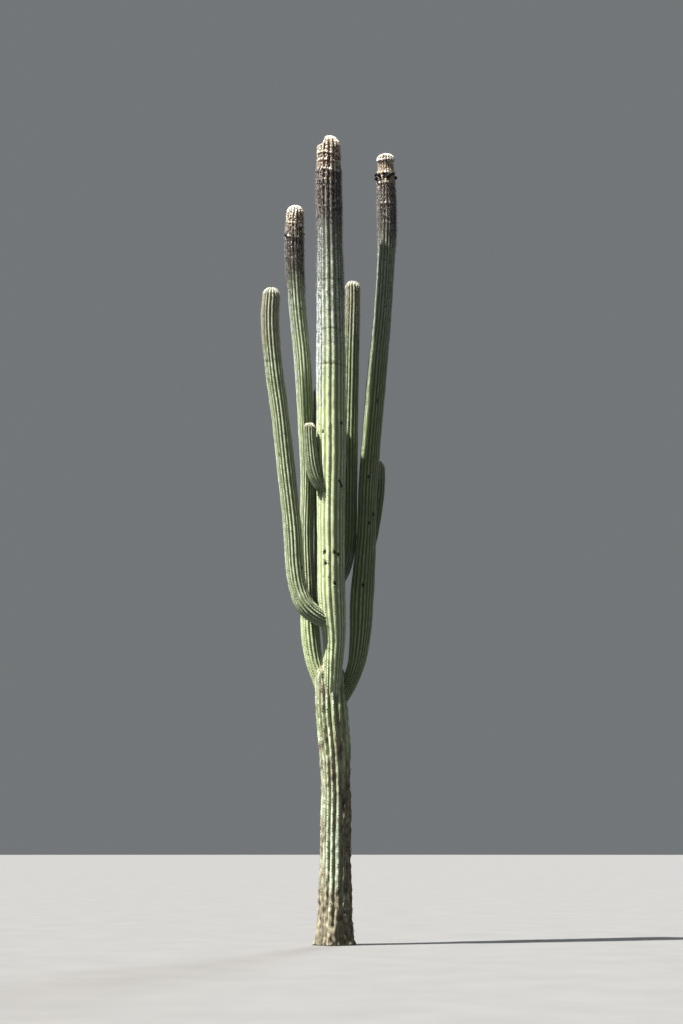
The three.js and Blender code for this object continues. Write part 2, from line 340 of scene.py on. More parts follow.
# %% Stems and arms
trunk = Limb("trunk", TRUNK_AXIS, TRUNK_RIBS, ["trunk"], "trunk_skin")
centre = stem("centre", CENTRE_AXIS)
left = stem("left", LEFT_AXIS)
right = stem("right", RIGHT_AXIS, FLAT_TIP)
outer_left = arm("outer_left", OUTER_LEFT_AXIS, STEM_RIBS)
short = arm("short", SHORT_AXIS)
rear_right = arm("rear_right", REAR_RIGHT_AXIS)
rear_left = arm("rear_left", REAR_LEFT_AXIS)
rear_outer = arm("rear_outer", REAR_OUTER_AXIS, SMALL_ARM_RIBS)
limbs = [trunk, centre, left, right, outer_left, short, rear_right, rear_left, rear_outer]

CENTRE_TIERS = [(8.10, 0, 0.1), (8.335, 10, 0.2), (8.55, -40, 0.6), (8.66, -25, 0.7), (8.75, 20, 1.1)]
LEFT_TIERS = [(7.57, 20, 0.3), (7.86, -50, 0.8), (8.02, -35, 0.6)]
RIGHT_TIERS = [(8.17, 0, 0.25), (8.32, -20, 0.5), (8.57, -15, 1.0), (8.69, 0, 0.7), (8.848, 0, 2.0)]
centre.grow_head(8.0, 7.1, CENTRE_TIERS)
left.grow_head(7.52, 7.2, LEFT_TIERS)
right.grow_head(8.04, 7.74, RIGHT_TIERS)
centre.dent = (-140, -36, 0.54)
right.rim_cuts = 0.22
short.young_share = 0.1
centre.mark_seasons([7.24, 6.67, 6.265])
left.mark_seasons([7.0])
outer_left.mark_seasons([6.305])
print("limbs:", len(limbs), "with", round(sum(limb.axis.length for limb in limbs), 1), "m of stem")

# %% [markdown]
# ## The ribbed surface
#
# The skin is found by sums alone. They take a turn round the limb, counted in ribs so that each
# crest is at a half, and a distance along the limb, and they work on many places at once. The rib
# is a rounded ridge between two sharp grooves. The ribs stand a little unevenly round the limb and
# wander as they climb, and the tip is part of an ellipse.

# %% Ribs and tip
RIB_POINTEDNESS = 1.8
RIB_UNEVENNESS = 0.16


def rib_crest(turn):
    """0 in the groove, 1 on the crest, with a rounded ridge and a sharp groove."""
    return 1 - np.abs(2 * (turn % 1.0) - 1) ** RIB_POINTEDNESS


def smooth_step(value, low, high):
    """0 at low, 1 at high, with soft ends. Low may be the larger of the two."""
    share = np.clip((value - low) / (high - low), 0, 1)
    return share * share * (3 - 2 * share)


def window(value, low, high, soft):
    """1 between low and high, with soft edges."""
    return smooth_step(value, low - soft, low + soft) * smooth_step(value, high + soft, high - soft)


def facing(limb, turn):
    """Degrees round the limb from the front: negative on its left flank, positive on its right."""
    return (360 * turn / limb.ribs + 180) % 360 - 180


def outward(limb, turn, distance):
    """The direction straight out from the axis at a place of the skin."""
    ahead = limb.axis.read(limb.axis.ahead, distance)
    front = limb.axis.read(limb.axis.front, distance)
    wander = 0.07 * np.sin(distance * 2.1 + limb.seed) + 0.04 * np.sin(distance * 5.3 + limb.seed)
    uneven = RIB_UNEVENNESS * np.sin(6 * np.pi * turn / limb.ribs + limb.seed)
    angle = 2 * np.pi * (turn + wander + uneven) / limb.ribs
    return front * np.cos(angle)[..., None] + np.cross(ahead, front) * np.sin(angle)[..., None]


def tip_share(limb, distance):
    """The share of the full radius that is left in the rounded tip."""
    into_tip = np.clip((distance - limb.shoulder) / limb.tip_height, 0, 1)
    return np.sqrt(1 - into_tip**2)


print("groove, flank and crest:", rib_crest(np.array([0.0, 0.25, 0.5])))

# %% [markdown]
# The old heads have tiers, where each season's wool hangs over the last one's like a skirt. A tier
# is strongest on one side, its edge is tilted and scalloped, and below it the girth is drawn in. The
# centre crown steps down where its left side has grown less.

# %% Tiers of the heads
TIER_EDGE = 0.004
TIER_TILT = 0.018
SCALLOP = 0.018
FIRST_TIER_LENGTH = 0.3
CROWN_REACH = 0.1
CROWN_STEP = (0.01, 0.045)
CROWN_STEP_SOFTNESS = 15


def tier_strength(limb, turn, number):
    """How far a tier stands out at this turn, from 0 to 1."""
    uneven = 0.6 + 0.4 * np.cos(np.radians(facing(limb, turn) - limb.tier_sides[number]))
    return np.clip(limb.tier_shares[number] * uneven, 0, 1)


def tier_place(limb, turn, distance):
    """The distance as the tiers see it, so that their lower edges tilt and hang in scallops."""
    tilt = TIER_TILT * np.sin(2 * np.pi * turn / limb.ribs + limb.seed)
    return distance + tilt + SCALLOP * rib_crest(turn)


def nearest_tier(limb, turn, distance):
    """Metres above the nearest tier's lower edge, negative below it, and the tier's strength."""
    if not limb.tiers:
        return np.ones_like(distance), np.zeros_like(distance)
    apart = tier_place(limb, turn, distance)[:, None] - np.array(limb.tiers)
    number = np.abs(apart).argmin(1)
    return apart[np.arange(len(apart)), number], tier_strength(limb, turn, number)


def skirt(limb, turn, distance):
    """How far the tiers' skirts stand out: 1 just above a tier's lower edge, less at its top."""
    out = np.ones_like(distance)
    if not limb.tiers:
        return out
    place = tier_place(limb, turn, distance)
    lows = [limb.tiers[0] - FIRST_TIER_LENGTH] + limb.tiers
    highs = limb.tiers + [limb.axis.length + CROWN_REACH]
    for number, (low, high) in enumerate(zip(lows, highs)):
        inside = smooth_step(place, low - TIER_EDGE, low + TIER_EDGE) if number else place > low
        drawn_in = tier_strength(limb, turn, number) * np.clip((place - low) / (high - low), 0, 1)
        out += inside * (1 - drawn_in - out)
    return out


def crown_share(limb, turn, distance):
    """The share of the girth that is left where one side of the crown has grown less."""
    if limb.dent is None:
        return np.ones_like(distance)
    low, high, depth = limb.dent
    side = window(facing(limb, turn), low, high, CROWN_STEP_SOFTNESS)
    below, above = CROWN_STEP
    return 1 - depth * side * smooth_step(distance, limb.shoulder - below, limb.shoulder + above)


print("tiers:", {limb.name: len(limb.tiers) for limb in limbs if limb.tiers})

# %% [markdown]
# The column under the skin is not even either. It swells and narrows slowly, and it has a narrow
# waist where growth paused for a season. Waists that can be seen on the real plant sit at their own
# heights, and fainter ones are picked between them. The grooves are shallow at the corky foot, and
# in the right crown they are deep enough to cut its rim into bumps. At each areole the crest bulges
# into a small chin.

# %% Skin surface
CORKY_RIB_DEPTH = 0.06
HEAD_RIB_DEPTH = 0.11
CORK_TOP = 1.5
HEAD_BORDER = (0.3, 0.25)
RIM_BAND = (0.09, 0.05)
WAIST_HALF_HEIGHT = 0.014
WAIST_DEPTH = 0.02
MEAN_GIRTH = 0.983
TIER_DEPTH = 0.1
AREOLE_STEP = 0.03
CHIN = 0.0014


def waist(limb, distance):
    """1 in the middle of a waist, 0 away from all of them."""
    near = np.zeros_like(distance)
    for mark, share in zip(limb.waists, limb.waist_shares):
        near = np.maximum(near, share * np.exp(-(((distance - mark) / WAIST_HALF_HEIGHT) ** 2)))
    return near


def head_share(limb, height):
    """1 on the woolly head, 0 on the green skin below it."""
    if limb.head_from is None:
        return np.zeros_like(height)
    below, above = HEAD_BORDER
    return smooth_step(height, limb.head_from - below, limb.head_from + above)


def rib_depth(limb, height):
    """The grooves' depth as a share of the radius."""
    old = CORKY_RIB_DEPTH + (limb.depth - CORKY_RIB_DEPTH) * smooth_step(height, 0, CORK_TOP)
    low, high = RIM_BAND
    rim = limb.rim_cuts * smooth_step(height, limb.top - low, limb.top - high)
    return old + (HEAD_RIB_DEPTH - limb.depth) * head_share(limb, height) + rim


def skin_points(limb, turn, distance):
    """Places of the skin."""
    core = limb.axis.read(limb.axis.place, distance)
    crest = rib_crest(turn)
    slow = 0.010 * np.sin(distance * 7.1 + limb.seed) + 0.007 * np.sin(distance * 17 + 2 * limb.seed)
    girth = MEAN_GIRTH + slow - WAIST_DEPTH * waist(limb, distance)
    girth -= TIER_DEPTH * (1 - skirt(limb, turn, distance)) * (0.4 + 0.6 * crest)
    girth *= limb.axis.read(limb.axis.radius, distance) * tip_share(limb, distance)
    girth *= crown_share(limb, turn, distance)
    groove = rib_depth(limb, core[..., 2]) * (1 - crest)
    odd = np.floor(turn) % 2
    chin = CHIN * np.cos(np.pi * (distance / AREOLE_STEP + odd / 2)) ** 2 * crest**4
    out_by = girth * (1 - groove) + chin * tip_share(limb, distance)
    return core + outward(limb, turn, distance) * out_by[..., None]


print("areoles every", AREOLE_STEP, "m along a crest")

# %% [markdown]
# ## Where the skin differs
#
# The same skin is not the same everywhere. It is corky at the trunk's foot, up its shaded side and on
# its healed top. Pale yellow wax lies on the trunk and on the lit side of the centre stem, where it is
# also painted light that fills the grooves' shade. It is a deeper green on the arms, partly as painted
# shade, mottled grey towards the tops, and pale on the sunniest flanks, partly bleached and partly
# painted light with a painted sky reflection. It is brown and woolly on the heads, dull just under
# them, freshly green near a growing tip, and scarred in a few places. Each of these is a number from 0
# to 1 on every vertex, worked out from the height, the distance along the limb and the side that the
# skin faces. The shader reads them by name and breaks up their edges with noise. One more number says
# how many metres the vertex lies above the nearest tier's edge, where a painted shadow and a painted
# highlight go.

# %% Masks of the old skin
CORK_EVERYWHERE = 0.42
WEATHERED = {"centre": 1, "left": 0.5, "right": 0.65, "short": 0}
WEATHERED_FROM, WEATHERED_TO = 5.3, 7.3
EVERY_HEIGHT = (-1, 10, 0.3)
# Pale flanks on the side the key light falls on: partly bleaching, partly painted light. On the right stem
# it is painted sunlight on the strip that the centre stem's shadow leaves.
BLEACHED_AND_LIT_FLANKS = {
    "centre": (1, (-110, -32, 9), (4.9, 8.15, 0.3)),
    "left": (0.5, (-110, -40, 14), (6.0, 7.6, 0.3)),
    "right": (0.45, (-120, -45, 14), (7.28, 8.1, 0.2)),
    "trunk": (0.15, (-150, 20, 14), (1.4, 2.6, 0.3)),
}
BLEACHED_AND_LIT_ARM = (0.2, (-110, -40, 20), EVERY_HEIGHT)


def cork_mask(limb, turn, height):
    """Bark at the trunk's foot, up its shaded right side and on its healed top, and thinly elsewhere."""
    if limb is not trunk:
        return np.zeros_like(height)
    foot = smooth_step(height, 1.2, 0.1)
    right_side = window(facing(limb, turn), 25, 165, 16) * window(height, 0.3, 1.95, 0.3)
    cap = smooth_step(height, 2.86, 2.97)
    return np.maximum.reduce([foot, right_side, cap, np.full_like(height, CORK_EVERYWHERE)])


def bleach_and_light_mask(limb, turn, height):
    """The pale skin of the flanks that take the most sun, partly bleached and partly painted light: a
    share, a window of sides and one of heights.
    """
    share, sides, heights = BLEACHED_AND_LIT_FLANKS.get(limb.name, BLEACHED_AND_LIT_ARM)
    bleach_and_light = share * window(facing(limb, turn), *sides) * window(height, *heights)
    if limb is centre:
        bleach_and_light *= 0.25 + 0.75 * smooth_step(height, 5.4, 6.7)
    return bleach_and_light


def weather_mask(limb, distance, height):
    """How grey and mottled the skin has grown: mostly in the upper third of each limb."""
    if limb.name in WEATHERED:
        return WEATHERED[limb.name] * smooth_step(height, WEATHERED_FROM, WEATHERED_TO)
    if limb is trunk:
        return 0.2 + 0.45 * smooth_step(height, 2.9, 0.9)
    old_foot = smooth_step(height, 4.35, 4.05) if limb is rear_right else 0
    length = limb.axis.length
    return np.maximum(old_foot, 0.5 * smooth_step(distance, 0.6 * length, 0.9 * length))


print("limbs with their own weathering:", len(WEATHERED))

# %% Masks of the green skin
# Partly a deeper green and partly painted shade: strongest on the rear outer arm, and high on the right
# stem and the rear arms, which stand in other limbs' shadow, and on the trunk's top under the fork.
DEEPER_GREEN_AND_SHADE = {"centre": 0, "outer_left": 0.22, "left": 0.12, "short": 0.6, "rear_outer": 1}
DEEP_ARM_AND_SHADE = 0.7
DEEP_AND_SHADED_TRUNK_TOP = 0.38
SCAR_SIZE = 0.032
SCAR_SQUASH = 0.7
USUAL_RADIUS = 0.13
SCARS = {
    "centre": [
        (4.16, -24), (4.04, -20), (4.16, 14), (4.14, 29), (3.82, 14),
        (5.6, 44), (4.95, 34), (4.93, 42), (4.9, 48), (5.5, -33),
    ],
    "right": [(3.84, -5), (4.65, 43), (5.96, 12), (5.08, -8), (4.55, 10)],
    "outer_left": [(4.0, 48), (5.25, -35)],
}


def deep_green_and_shade_mask(limb, height):
    """How much deeper than the centre stem's the limb's green is. It is partly a deeper green of the
    arms and partly painted shade where a limb stands in others' shadow: on the rear outer arm, the
    right stem and the trunk's top under the fork.
    """
    if limb is trunk:
        return DEEP_AND_SHADED_TRUNK_TOP * smooth_step(height, 2.1, 2.6)
    return np.full_like(height, DEEPER_GREEN_AND_SHADE.get(limb.name, DEEP_ARM_AND_SHADE))


def wax_and_light_mask(limb, turn, height):
    """Pale yellow wax on the trunk. On the lit side of the centre stem and at the left one's foot the same
    pale yellow is also painted light that fills the grooves' shade.
    """
    side = facing(limb, turn)
    if limb is trunk:
        return 0.5 * window(height, 0.8, 2.4, 0.4)
    if limb is left:
        return 0.8 * window(side, -130, 0, 14) * smooth_step(height, 3.8, 3.4)
    if limb is centre:
        share = 0.7 * window(side, -28, 18, 6) + 0.4 * window(side, -130, -28, 6)
        return share * smooth_step(height, 7.6, 6.4)
    return np.zeros_like(height)


def young_mask(limb, distance):
    """Fresh growth towards the tip."""
    if limb is trunk:
        return np.zeros_like(distance)
    return smooth_step(distance, (1 - limb.young_share) * limb.axis.length, limb.axis.length)


def scar_mask(limb, turn, height):
    """Small dark wounds, each at a height and so many degrees round from the front."""
    scar = np.zeros_like(height)
    for at, side in SCARS.get(limb.name, ()):
        round_by = np.radians(facing(limb, turn) - side) * USUAL_RADIUS
        apart = np.hypot(round_by, SCAR_SQUASH * (height - at))
        scar = np.maximum(scar, smooth_step(apart, SCAR_SIZE, 0))
    return scar


print("scars:", sum(map(len, SCARS.values())))

# %% Masks of the heads


def dull_mask(limb, height):
    """The dull skin under a head, strongest where the wool starts."""
    if limb.dull_from is None:
        return np.zeros_like(height)
    return smooth_step(height, limb.dull_from, limb.head_from)


def ripe_mask(limb, height):
    """How far up the head: 0 where it starts, 1 at its top."""
    if limb.head_from is None:
        return np.zeros_like(height)
    return np.clip((height - limb.head_from) / (limb.top - limb.head_from), 0, 1)


def skin_masks(limb, turn, distance, height):
    """All the numbers that the shader reads, by name, with one value for every vertex."""
    off_tier, tier_strength = nearest_tier(limb, turn, distance)
    return {
        "cork": cork_mask(limb, turn, height),
        "bleach_and_light": bleach_and_light_mask(limb, turn, height),
        "weather": weather_mask(limb, distance, height),
        "scar": scar_mask(limb, turn, height),
        "deep": deep_green_and_shade_mask(limb, height),
        "wax": wax_and_light_mask(limb, turn, height),
        "dull": dull_mask(limb, height),
        "head": head_share(limb, height),
        "ripe": ripe_mask(limb, height),
        "young": young_mask(limb, distance),
        "season": waist(limb, distance),
        "off_tier": off_tier,
        "tier_strength": tier_strength,
    }


print("heads:", [limb.name for limb in limbs if limb.tiers])

# %% [markdown]
# ## Relief of the bark and the scars
#
# An old trunk of this kind is no longer waxy. Its lower ribs swell, crack and turn to cork, so the
# skin gets extra relief there: long vertical furrows and low plates, deepest at the foot, and a few
# lobes where the roots begin to spread. The cut at the ground stays flat, because relief only moves
# the skin inwards or outwards. Scars sink in a little, and the rest keeps a faint unevenness.

# %% Relief
FURROW, FURROW_WIDTH = 0.010, 0.035
FURROW_STRETCH = np.array([1.0, 1.0, 0.12])
PLATE, PLATE_WIDTH = 0.006, 0.045
FOOT_LOBES, LOBE_COUNT, LOBES_TOP = 0.02, 5, 0.45
SCAR_DEPTH = 0.006
UNEVENNESS, HUMP_WIDTH = 0.0012, 0.03


def ripple(points, size, seed, waves=7):
    """Smooth irregular relief between about -1 and 1, with humps of roughly the given size."""
    picked = np.random.default_rng(seed)
    ways = picked.normal(size=(waves, 3))
    ways /= np.linalg.norm(ways, axis=1)[:, None]
    pitch = picked.uniform(0.6, 1.5, waves)[:, None] * np.pi / size
    phase = picked.uniform(0, 2 * np.pi, waves)
    return np.sin(points @ (ways * pitch).T + phase).sum(-1) / waves**0.5


def relief(limb, points, turn, distance):
    """How far each point of the skin moves outwards, as vectors."""
    height = points[:, 2]
    cork = cork_mask(limb, turn, height)
    furrows = -np.abs(ripple(points * FURROW_STRETCH, FURROW_WIDTH, seed=3)) * FURROW * cork
    plates = ripple(points, PLATE_WIDTH, seed=5) * PLATE * cork
    lobes = np.zeros_like(height)
    if limb is trunk:
        waves = np.cos(np.radians(facing(limb, turn)) * LOBE_COUNT + 0.6)
        lobes = FOOT_LOBES * (waves - 0.6) * smooth_step(height, LOBES_TOP, 0.0)
    scars = -SCAR_DEPTH * scar_mask(limb, turn, height)
    faint = UNEVENNESS * ripple(points, HUMP_WIDTH, seed=7) * tip_share(limb, distance)
    return outward(limb, turn, distance) * (furrows + plates + lobes + scars + faint)[:, None]


print("deepest furrow:", FURROW * 1000, "mm")

# %% [markdown]
# ## Rolling a sheet into a skin
#
# A flat grid is the easiest start: its faces are even squares, and its UV map is already laid out,
# one way round the limb and the other way along it. Each vertex is then moved onto the ribbed
# surface, and the two edges that meet in a groove are welded. The UV map is rescaled so that one
# unit is one rib across and one metre along, which lets the shader count ribs and areoles. The rows
# are half an areole apart, so every chin under an areole is real shape, and closer on the heads.

# %% Skin mesh
PANELS_PER_RIB = 8
ROW_HEIGHT = AREOLE_STEP / 2
HEAD_ROW_HEIGHT = 0.005
FINE_BELOW_TIERS = 0.1
TIP_ROWS = 14
WELD = 1e-5


def stations(limb):
    """Distances of the rows of vertices: even along the column, and by angle over the tip."""
    fine_from = limb.tiers[0] - FINE_BELOW_TIERS if limb.tiers else limb.shoulder
    column = np.arange(0, fine_from, ROW_HEIGHT)
    fine = np.arange(column[-1] + HEAD_ROW_HEIGHT, limb.shoulder, HEAD_ROW_HEIGHT)
    angles = np.linspace(0, np.pi / 2, TIP_ROWS + 1)
    return np.concatenate([column, fine, limb.shoulder + limb.tip_height * np.sin(angles)])


def link(name, mesh):
    """A new object at the origin that holds the mesh, riding on the plant's one body."""
    piece = bpy.data.objects.new(name, mesh)
    bpy.context.scene.collection.objects.link(piece)
    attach(piece, "root")
    return piece


def rolled_skin(limb):
    """The limb's skin as a mesh: a grid moved onto the ribbed surface, welded and capped."""
    rows = stations(limb)
    last = len(rows) - 1
    bm = bmesh.new()
    bm.loops.layers.uv.new("skin")
    around = limb.ribs * PANELS_PER_RIB
    bmesh.ops.create_grid(bm, x_segments=around, y_segments=last, size=0.5, calc_uvs=True)
    mesh = bpy.data.meshes.new(limb.name + "_skin")
    bm.to_mesh(mesh)
    flat = np.empty(len(mesh.vertices) * 3)
    mesh.vertices.foreach_get("co", flat)
    across, along = flat.reshape(-1, 3)[:, :2].T + 0.5
    turn = across * limb.ribs
    distance = rows[np.rint(along * last).astype(int)]
    points = skin_points(limb, turn, distance)
    points = points + relief(limb, points, turn, distance)
    mesh.vertices.foreach_set("co", points.ravel())
    uv = np.empty(len(mesh.loops) * 2)
    mesh.uv_layers["skin"].data.foreach_get("uv", uv)
    uv = uv.reshape(-1, 2)
    uv[:, 0] *= limb.ribs
    uv[:, 1] = rows[np.rint(uv[:, 1] * last).astype(int)]
    mesh.uv_layers["skin"].data.foreach_set("uv", uv.ravel())
    for name, values in skin_masks(limb, turn, distance, points[:, 2]).items():
        mesh.attributes.new(name, "FLOAT", "POINT").data.foreach_set("value", values.astype(np.float32))
    bm.clear()
    bm.from_mesh(mesh)
    bmesh.ops.remove_doubles(bm, verts=bm.verts, dist=WELD)
    bmesh.ops.holes_fill(bm, edges=[edge for edge in bm.edges if edge.is_boundary])
    bmesh.ops.recalc_face_normals(bm, faces=bm.faces)
    for face in bm.faces:
        face.smooth = True
    bm.to_mesh(mesh)
    bm.free()
    return mesh


print("rows on the centre stem:", len(stations(centre)))

# %% [markdown]
# ## A recipe for a finish
#
# A node tree reads best when each line of code is one step of a recipe. This class holds a new
# material's tree. Each of its methods adds a node or two, plugs plain values or other nodes' outputs
# into them, and gives back the output that the next step needs. The sums come first.


# %% Sums in a node tree
class NodeSums:
    """A new material's node tree, with the sums that a recipe needs."""

    def __init__(self, name):
        self.material = bpy.data.materials.new(name)
        self.material.use_nodes = True
        self.tree = self.material.node_tree
        self.tree.nodes.clear()
        self.shader = self.add("ShaderNodeBsdfPrincipled")
        self.add("ShaderNodeOutputMaterial", {"Surface": self.shader.outputs["BSDF"]})

    def wire(self, value, socket):
        """Plugs another node's output into the socket, or sets the socket to a plain value."""
        if isinstance(value, bpy.types.NodeSocket):
            self.tree.links.new(value, socket)
        else:
            socket.default_value = value

    def add(self, kind, inputs=None, **settings):
        node = self.tree.nodes.new(kind)
        for name, value in settings.items():
            setattr(node, name, value)
        for name, value in (inputs or {}).items():
            self.wire(value, node.inputs[name])
        return node

    def calc(self, operation, *values, clamp=False):
        node = self.add("ShaderNodeMath", operation=operation, use_clamp=clamp)
        for value, socket in zip(values, node.inputs):
            self.wire(value, socket)
        return node.outputs[0]

    def times(self, first, second, clamp=False):
        return self.calc("MULTIPLY", first, second, clamp=clamp)

    def line(self, value, factor, start, clamp=False):
        """The value times the factor, plus the start."""
        return self.calc("MULTIPLY_ADD", value, factor, start, clamp=clamp)

    def sway(self, value, by, reach):
        """The value, moved by up to half of the reach either way as the other goes from 0 to 1."""
        return self.calc("ADD", value, self.line(by, reach, -0.5 * reach))

    def slope(self, value, low, high):
        """0 where the value is below low, 1 above high, smooth between."""
        ends = {"Value": value, "From Min": low, "From Max": high}
        return self.add("ShaderNodeMapRange", ends, interpolation_type="SMOOTHSTEP").outputs["Result"]

    def band(self, value, rise, fall):
        """1 between a rising and a falling slope."""
        return self.times(self.slope(value, *rise), self.slope(value, *fall))


print("sums:", [name for name in vars(NodeSums) if name[0] != "_"])

# %% [markdown]
# On top of the sums come masks, noise and colours. A recipe also keeps the colour mixed so far, so
# that a finish is built up like paint: a ground first, and then one thin layer over another.


# %% Recipe
class Recipe(NodeSums):
    """A finish that is mixed step by step."""

    coordinates = None
    colour = None

    def mask(self, name):
        return self.add("ShaderNodeAttribute", attribute_name=name).outputs["Fac"]

    def noise(self, scale, detail=3.0, roughness=0.55, along=1.0):
        """Noise on the piece's own coordinates, drawn out along the limb where along is below 1."""
        if self.coordinates is None:
            self.coordinates = self.add("ShaderNodeTexCoord").outputs["Object"]
        place = self.coordinates
        if along != 1.0:
            place = self.add("ShaderNodeMapping", {"Vector": place, "Scale": (1.0, 1.0, along)}).outputs[0]
        wires = {"Vector": place, "Scale": scale, "Detail": detail, "Roughness": roughness}
        return self.add("ShaderNodeTexNoise", wires).outputs["Fac"]

    def ragged(self, mask, scale, reach, low=0.35, high=0.65, along=1.0):
        """The mask with its edge broken up by noise."""
        return self.slope(self.sway(mask, self.noise(scale, 4, along=along), reach), low, high)

    def ramp(self, value, stops):
        """A colour ramp with stops of (place, colour)."""
        node = self.add("ShaderNodeValToRGB", {"Fac": value})
        elements = node.color_ramp.elements
        while len(elements) < len(stops):
            elements.new(0.5)
        for element, (place, colour) in zip(elements, stops):
            element.position = place
            element.color = colour
        return node.outputs["Color"]

    def mix(self, share, first, second):
        node = self.add("ShaderNodeMix", data_type="RGBA")
        for value, number in ((share, 0), (first, 6), (second, 7)):
            self.wire(value, node.inputs[number])
        return node.outputs[2]

    def lay(self, colour, share, strength=1.0):
        """Lays a colour over what is there, as far as the share and the strength go."""
        if strength != 1.0:
            share = self.times(share, strength)
        self.colour = self.mix(share, self.colour, colour)

    def finish(self, colour, roughness, shine):
        """Sets the shader's own sockets and gives back the material."""
        settings = {"Base Color": colour, "Roughness": roughness, "Specular IOR Level": shine}
        for name, value in settings.items():
            self.wire(value, self.shader.inputs[name])
        return self.material


print("steps of a recipe:", [name for name, step in vars(Recipe).items() if callable(step)])

# %% [markdown]
# ## The living skin
#
# Seen close, a rib is not one green. The groove is a deep green, partly painted shade, its flanks are
# lighter, and the crest carries a pale waxy bloom, partly a painted highlight, with a dark felted spot
# every few centimetres. Over that lie slow shifts between yellow green and grey green, yellow wax that
# on the lit side is painted light, a deeper green that is partly painted shade, the bloom once more
# along the very ridge, partly a painted highlight, young growth, mottled weathering, scurfy flecks, a
# faint line of painted shade at each season's waist, the dull skin under a head, pale flanks that are
# partly bleached and partly painted light, the woolly head with a painted shadow and a painted
# highlight at each tier, cork, the areoles' spots and at last the scars. The recipe follows that
# order. The rib and the spots come from the UV map, and everything else from the piece's own
# coordinates and its masks.

# %% Skin colours
# Pale waxy bloom, also used as a painted highlight on the crests.
BLOOM_AND_HIGHLIGHT = tone(236, 240, 228)
# From groove to crest: the groove's dark green is partly painted shade, the pale crest partly a painted
# highlight.
RIB_GREENS = (
    (0.03, tone(84, 100, 50)),
    (0.25, tone(134, 151, 86)),
    (0.64, tone(174, 187, 140)),
    (0.85, BLOOM_AND_HIGHLIGHT),
)
GREY_GREEN = tone(148, 160, 124)
YOUNG_GREEN = tone(146, 144, 119)
# A deeper green, partly painted shade.
DEEP_GREEN_AND_SHADE = tone(84, 98, 54)
# Pale yellow wax; on the lit sides it is also painted light that fills the grooves' shade.
WAX_AND_LIGHT = tone(184, 197, 140)
WEATHERED_PALE = tone(194, 199, 192)
WEATHERED_DARK = tone(88, 94, 80)
AREOLE_DARK = tone(46, 40, 32)
# A dark line painted along each waist, as shade in its pinch.
SEASON_SHADE_LINE = tone(72, 74, 46)
# Bleached white with a blue tint that is a painted reflection of the sky.
BLEACHED_WITH_SKY_SHEEN = tone(201, 210, 211)
DULL_OLIVE = tone(110, 110, 97)
FLECK = tone(70, 70, 56)
SCAR_DARK = tone(26, 24, 22)
CORKS = ((0.38, tone(70, 62, 52)), (0.52, tone(138, 130, 108)), (0.64, tone(192, 186, 154)))
print("from groove to crest:", len(RIB_GREENS), "greens")

# %% [markdown]
# The heads need a second set of colours, because they change with height. Each is a row of stops
# for a colour ramp, from 0 where the head starts to 1 at its crown: for the wool on the crests, for
# the slots between them, whose dark is partly painted shade, for the painted shadow in the recess
# under a tier and for the painted highlight on its edge.

# %% Head colours
HEAD_WOOL = (
    (0.0, tone(166, 163, 154)),
    (0.35, tone(162, 151, 141)),
    (0.65, tone(204, 190, 168)),
    (0.92, tone(238, 231, 218)),
)
# Colours of the slots between the woolly crests; their dark is partly painted shade.
HEAD_SLOTS_AND_SHADE = (
    (0.0, tone(84, 84, 76)),
    (0.35, tone(58, 52, 49)),
    (0.7, tone(94, 74, 60)),
    (0.95, tone(146, 124, 102)),
)
# Painted shadow in the recess just under a tier's edge.
TIER_RECESS_SHADOW = ((0.0, tone(40, 36, 30)), (0.55, tone(112, 70, 42)), (0.95, tone(180, 130, 84)))
# Painted highlight on a tier's edge, palest towards the crown.
TIER_COLLAR_HIGHLIGHT = ((0.0, tone(166, 162, 152)), (0.6, tone(214, 200, 178)), (1.0, tone(248, 244, 234)))
RECESS_SHADOW_HEIGHTS = ((0.0, -0.004), (-0.036, -0.016))
COLLAR_HIGHLIGHT_HEIGHTS = ((-0.002, 0.003), (0.03, 0.014))
print("a tier's collar and recess:", round(COLLAR_HIGHLIGHT_HEIGHTS[1][0] - RECESS_SHADOW_HEIGHTS[1][0], 3), "m")

# %% Skin steps
RIB_WIDTH = 0.045


def rib_counts(skin):
    """From the UV map: how far up the rib's flank (0 groove, 1 crest), and metres from an areole."""
    place = skin.add("ShaderNodeUVMap", uv_map="skin").outputs["UV"]
    parts = skin.add("ShaderNodeSeparateXYZ", {"Vector": place})
    turn, distance = parts.outputs["X"], parts.outputs["Y"]
    off_crest = skin.calc("ABSOLUTE", skin.calc("SUBTRACT", skin.calc("FRACT", turn), 0.5))
    crest = skin.line(off_crest, -2.0, 1.0)
    odd = skin.calc("MODULO", skin.calc("FLOOR", turn), 2.0)
    count = skin.calc("ADD", skin.calc("DIVIDE", distance, AREOLE_STEP), skin.times(odd, 0.5))
    along = skin.times(skin.calc("PINGPONG", count, 0.5), AREOLE_STEP)
    across = skin.times(off_crest, RIB_WIDTH)
    squares = skin.calc("ADD", skin.times(along, along), skin.times(across, across))
    return crest, skin.calc("SQRT", squares)


def weathered_colour(skin, crest):
    """The mottled grey of the older skin near the tops, palest on the crests."""
    spots = skin.sway(skin.noise(62, 4, 0.7, along=0.5), crest, 0.22)
    return skin.mix(skin.slope(spots, 0.42, 0.6), WEATHERED_DARK, WEATHERED_PALE)


def bleached_and_lit_colour(skin, crest):
    """The white of a bleached flank with dark speckles, most of them in the grooves. Its blue tint is a
    painted sky reflection, and on the lit flanks its paleness is partly painted light.
    """
    speckles = skin.sway(skin.noise(34, 4, 0.75), crest, -0.3)
    return skin.mix(skin.slope(speckles, 0.45, 0.53), BLEACHED_WITH_SKY_SHEEN, WEATHERED_DARK)


